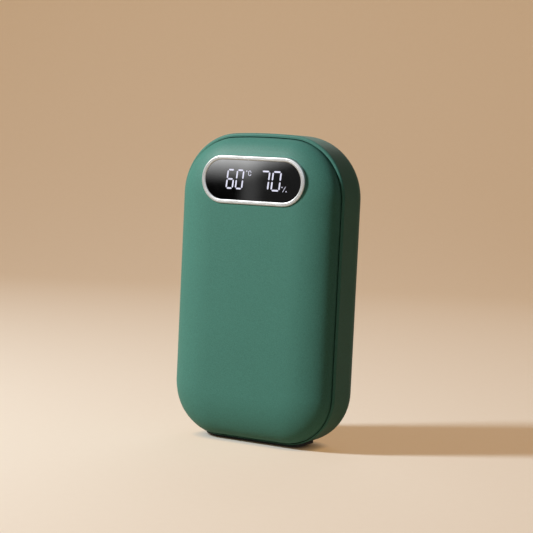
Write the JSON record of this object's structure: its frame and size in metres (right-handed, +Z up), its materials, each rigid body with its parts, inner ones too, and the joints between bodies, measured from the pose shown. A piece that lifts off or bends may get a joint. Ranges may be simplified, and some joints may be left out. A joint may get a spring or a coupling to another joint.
{
  "type": "rechargeable hand warmer",
  "caption": "Free-standing pillow-shaped hand warmer in matte green with an oval black readout in a polished ring, a side power button and a charging inlet.",
  "frame": {"origin": "on the floor under the middle of the body", "axes": "+Z up, -Y out of the front face with the readout, +X to the right seen from the front"},
  "size_m": [0.062, 0.0254, 0.1049],
  "materials": {
    "shell_green": "soft-touch matte",
    "seal_rubber": "matte",
    "foot_rubber": "matte",
    "bezel_metal": "polished",
    "lens_black": "glossy",
    "tape_black": "matte",
    "readout_white": "lit",
    "light_box_white": "matte",
    "led_yellow": "gloss",
    "board_green": "solder mask",
    "pin_brass": "plated",
    "screw_steel": "plain",
    "chip_black": "matte",
    "inductor_grey": "ferrite",
    "capacitor_tan": "ceramic",
    "inlet_steel": "plated",
    "tongue_black": "matte",
    "plunger_white": "matte",
    "spreader_metal": "sheet",
    "heater_film": "polyimide film",
    "foam_grey": "foam",
    "cell_pouch": "laminate",
    "tab_nickel": "nickel",
    "lead_red": "wire sleeve",
    "lead_black": "wire sleeve",
    "lead_white": "wire sleeve",
    "connector_cream": "nylon"
  },
  "bodies": {
    "body": {"base_foot": "foot_rubber", "battery_lead_black": "lead_black", "battery_lead_red": "lead_red", "battery_plug": "connector_cream", "battery_socket": "connector_cream", "board_capacitors": "capacitor_tan", "board_screws": "screw_steel", "cell_tabs": "tab_nickel", "cell_tape": "tape_black", "charger_chip": "chip_black", "controller_chip": "chip_black", "display_bezel": "bezel_metal", "display_board": "board_green", "display_lens": "lens_black", "display_pins": "pin_brass", "front_cell": "cell_pouch", "front_foam": "foam_grey", "front_heater": "heater_film", "front_heater_leads": "lead_white", "front_shell": "shell_green", "front_spreader": "spreader_metal", "lens_tape": "tape_black", "main_board": "board_green", "power_inductor": "inductor_grey", "protection_board": "board_green", "readout_leds": "led_yellow", "readout_reflector": "light_box_white", "readout_windows": "readout_white", "rear_cell": "cell_pouch", "rear_foam": "foam_grey", "rear_heater": "heater_film", "rear_heater_leads": "lead_white", "rear_shell": "shell_green", "rear_spreader": "spreader_metal", "seam_seal": "seal_rubber", "switch_body": "chip_black", "temperature_sensor": "tongue_black", "usb_shell": "inlet_steel", "usb_tongue": "tongue_black"},
    "button": {"power_button": "shell_green", "switch_plunger": "plunger_white"}
  },
  "joints": [
    {"name": "button_press", "type": "slide", "parent": "body", "child": "button", "axis": [1, 0, 0], "range_m": [0, 0.0004], "stiffness_N_per_m": 3000}
  ]
}
